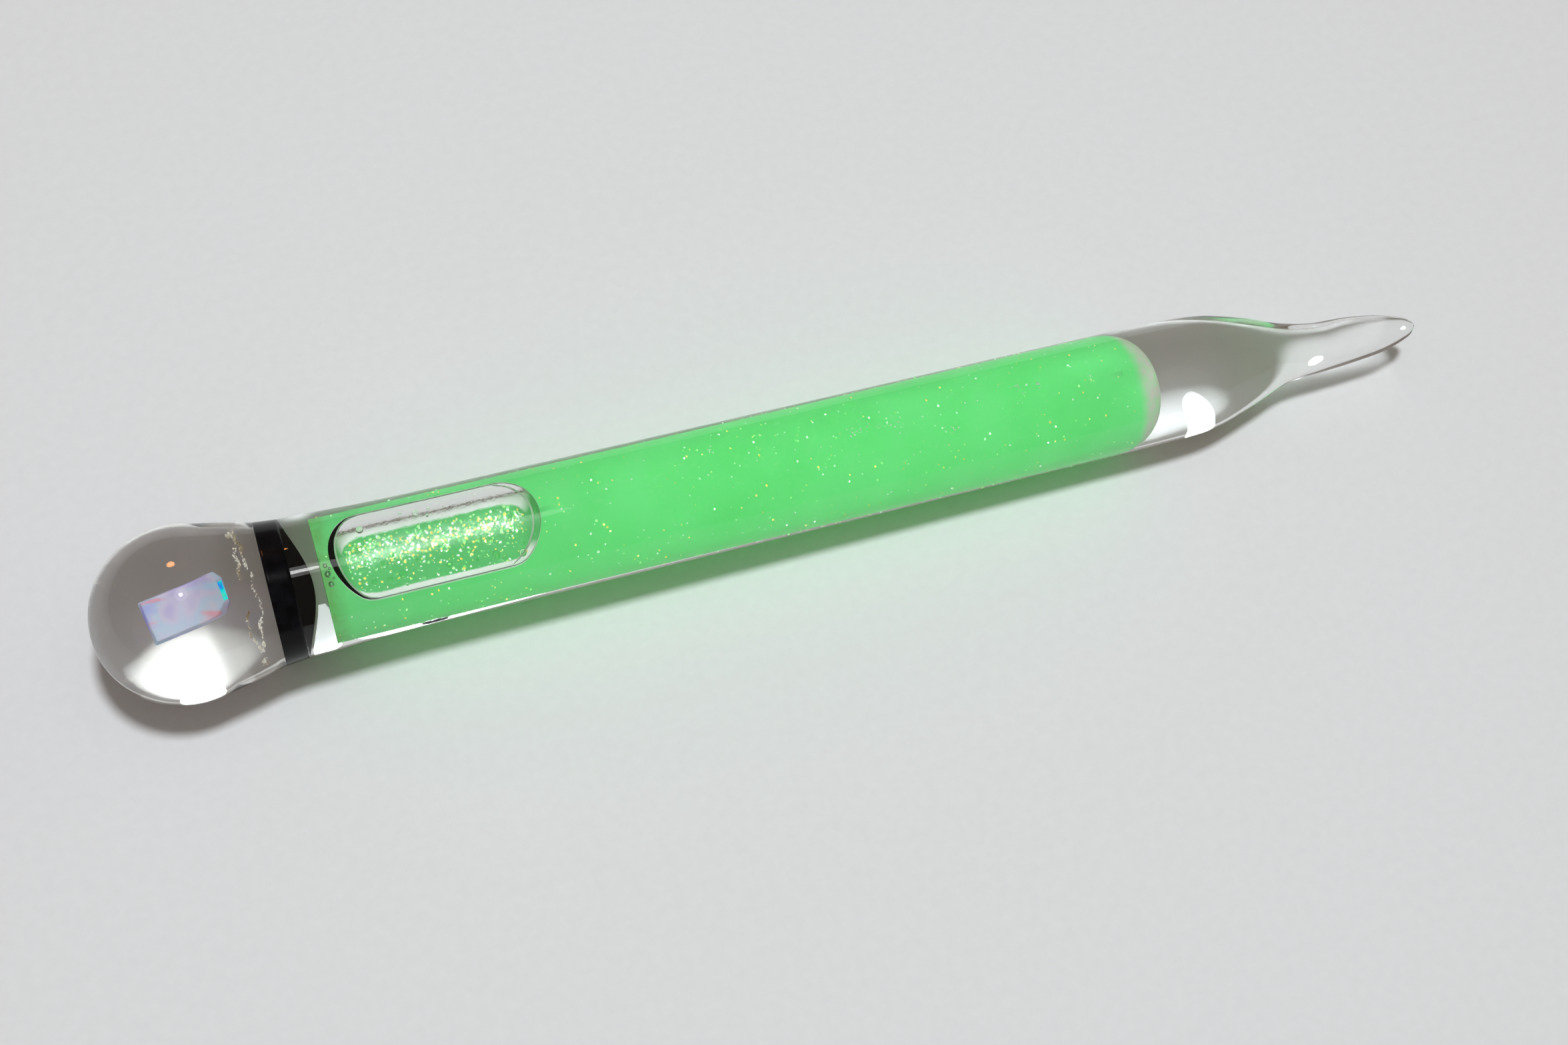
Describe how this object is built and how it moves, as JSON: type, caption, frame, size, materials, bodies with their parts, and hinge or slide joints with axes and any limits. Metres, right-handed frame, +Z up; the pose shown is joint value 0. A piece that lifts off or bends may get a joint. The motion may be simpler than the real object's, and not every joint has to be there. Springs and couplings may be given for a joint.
{
  "type": "kaleidoscope wand",
  "caption": "Sealed glass wand for a wand kaleidoscope: glass tube of green glitter liquid with a travelling air bubble, solid ball end with opal chip, drawn tip.",
  "frame": {"origin": "on the tube's axis, at the middle of its straight grip length", "axes": "+X along the tube's axis towards the drawn tip, +Z up, with the bubble under the top of the bore"},
  "size_m": [0.1396, 0.0168, 0.0168],
  "materials": {
    "clear_glass": "fire-polished clear glass",
    "opal": "synthetic opal with play of colour",
    "black_glass": "opaque black glass",
    "green_liquid": "pearly green glitter liquid",
    "gold_flake": "metallised gold glitter film",
    "silver_flake": "metallised silver glitter film",
    "green_flake": "metallised green glitter film",
    "air": "air pocket under a film of liquid"
  },
  "bodies": {
    "wand": {"end_ball": "clear_glass", "opal_chip": "opal", "black_band": "black_glass", "end_plug": "clear_glass", "glass_tube": "clear_glass", "drawn_tip": "clear_glass"},
    "fill": {"green_liquid": "green_liquid", "gold_glitter": "gold_flake", "silver_glitter": "silver_flake", "green_glitter": "green_flake"},
    "bubble": {"air_bubble": "air", "satellite_bubbles": "air"}
  },
  "joints": [
    {"name": "fill_roll", "type": "hinge", "parent": "wand", "child": "fill", "pos_m": [0, 0, 0], "axis": [1, 0, 0], "continuous": true},
    {"name": "bubble_travel", "type": "slide", "parent": "fill", "child": "bubble", "axis": [1, 0, 0], "range_m": [0, 0.061], "deforming": ["green_liquid"]}
  ]
}
